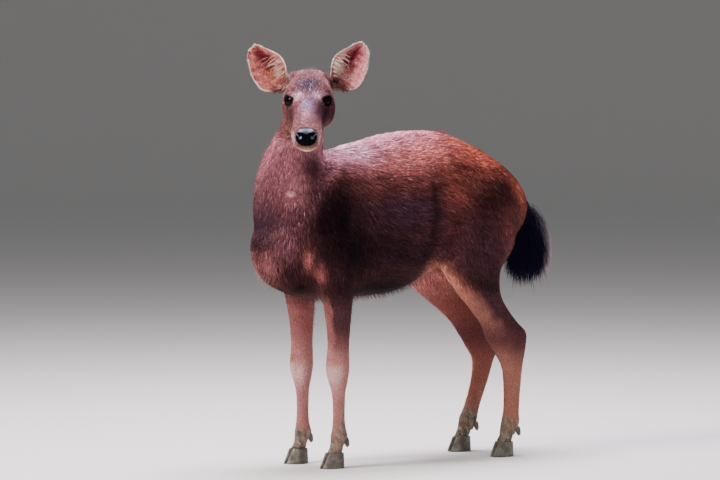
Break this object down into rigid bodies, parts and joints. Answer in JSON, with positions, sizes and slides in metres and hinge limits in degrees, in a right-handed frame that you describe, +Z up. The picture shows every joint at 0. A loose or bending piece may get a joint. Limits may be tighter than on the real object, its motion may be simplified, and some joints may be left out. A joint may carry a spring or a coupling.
{
  "type": "young sambar hind, museum model",
  "caption": "Life-size standing young sambar deer hind with raised head turned to the left, large rounded ears and a bushy hanging tail.",
  "frame": {"origin": "on the floor under the middle of the animal's box", "axes": "+Z up, the animal faces -Y, its left side is +X"},
  "size_m": [0.3646, 0.9832, 1.1556],
  "materials": {
    "coat_brown": "short coarse hair, dull sheen",
    "coat_rust": "short coarse hair, dull sheen",
    "coat_dark": "long coarse hair, dull",
    "leg_hair": "very short smooth hair",
    "ear_skin": "thin skin with sparse hair",
    "nose_skin": "moist, glossy",
    "eye": "wet, glossy",
    "horn": "satin horn with mud"
  },
  "bodies": {
    "root": {"barrel": "coat_brown", "dewclaw_fore_left_left": "horn", "dewclaw_fore_left_right": "horn", "dewclaw_fore_right_left": "horn", "dewclaw_fore_right_right": "horn", "dewclaw_hind_left_left": "horn", "dewclaw_hind_left_right": "horn", "dewclaw_hind_right_left": "horn", "dewclaw_hind_right_right": "horn", "ear_left": "ear_skin", "ear_right": "ear_skin", "eye_left": "eye", "eye_right": "eye", "fore_cannon_left": "leg_hair", "fore_cannon_right": "leg_hair", "forearm_left": "leg_hair", "forearm_right": "leg_hair", "forequarters": "coat_dark", "gaskin_left": "leg_hair", "gaskin_right": "leg_hair", "head": "coat_brown", "hind_cannon_left": "leg_hair", "hind_cannon_right": "leg_hair", "hindquarters": "coat_rust", "hoof_fore_left_left": "horn", "hoof_fore_left_right": "horn", "hoof_fore_right_left": "horn", "hoof_fore_right_right": "horn", "hoof_hind_left_left": "horn", "hoof_hind_left_right": "horn", "hoof_hind_right_left": "horn", "hoof_hind_right_right": "horn", "neck": "coat_brown", "nose_pad": "nose_skin", "tail": "coat_dark"}
  },
  "joints": []
}
